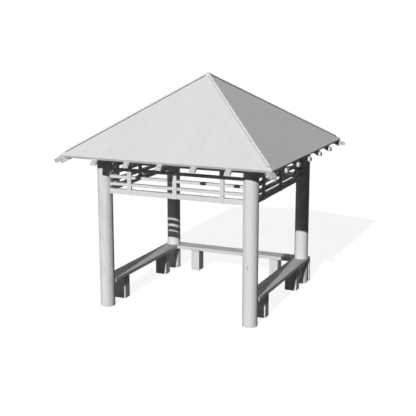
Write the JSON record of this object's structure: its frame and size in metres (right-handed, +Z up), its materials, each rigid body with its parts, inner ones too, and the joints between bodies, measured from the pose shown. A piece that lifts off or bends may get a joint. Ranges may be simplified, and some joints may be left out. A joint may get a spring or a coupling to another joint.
{
  "type": "garden gazebo",
  "caption": "Open square garden gazebo: round posts, pyramid roof on log rafters, lattice frieze under the eaves and a bench on three sides.",
  "frame": {"origin": "on the ground, at the middle of the four posts", "axes": "+X to the right along the open front, +Y from the front to the back bench, +Z up"},
  "size_m": [3.6956, 3.6956, 3.757],
  "materials": {
    "post_wood": "rounded logs, weathered to pale silver grey, satin",
    "frame_wood": "sawn timber, weathered to pale silver grey, matt",
    "rafter_wood": "rounded poles, weathered to pale silver grey, satin",
    "lattice_wood": "planed rails and battens, pale grey stain, satin",
    "roof_boards": "smooth flat panels with a pale grey coating, matt",
    "cap_metal": "folded sheet strips, pale grey paint, satin",
    "seat_wood": "thick planks with eased edges, pale grey, satin",
    "leg_wood": "sawn blocks, end grain on top, pale grey, matt"
  },
  "bodies": {
    "root": {"front_left_post": "post_wood", "front_right_post": "post_wood", "back_left_post": "post_wood", "back_right_post": "post_wood", "front_plate": "frame_wood", "back_plate": "frame_wood", "left_plate": "frame_wood", "right_plate": "frame_wood", "front_lattice": "lattice_wood", "back_lattice": "lattice_wood", "left_lattice": "lattice_wood", "right_lattice": "lattice_wood", "front_left_hip_rafter": "frame_wood", "front_right_hip_rafter": "frame_wood", "back_left_hip_rafter": "frame_wood", "back_right_hip_rafter": "frame_wood", "front_rafters": "rafter_wood", "back_rafters": "rafter_wood", "left_rafters": "rafter_wood", "right_rafters": "rafter_wood", "front_roof_panel": "roof_boards", "back_roof_panel": "roof_boards", "left_roof_panel": "roof_boards", "right_roof_panel": "roof_boards", "front_left_hip_cap": "cap_metal", "front_right_hip_cap": "cap_metal", "back_left_hip_cap": "cap_metal", "back_right_hip_cap": "cap_metal", "peak_cap": "cap_metal", "left_seat": "seat_wood", "right_seat": "seat_wood", "back_seat": "seat_wood", "left_bench_front_leg": "leg_wood", "left_bench_back_leg": "leg_wood", "right_bench_front_leg": "leg_wood", "right_bench_back_leg": "leg_wood", "back_bench_left_leg": "leg_wood", "back_bench_right_leg": "leg_wood", "left_corner_leg": "leg_wood", "right_corner_leg": "leg_wood"}
  },
  "joints": []
}
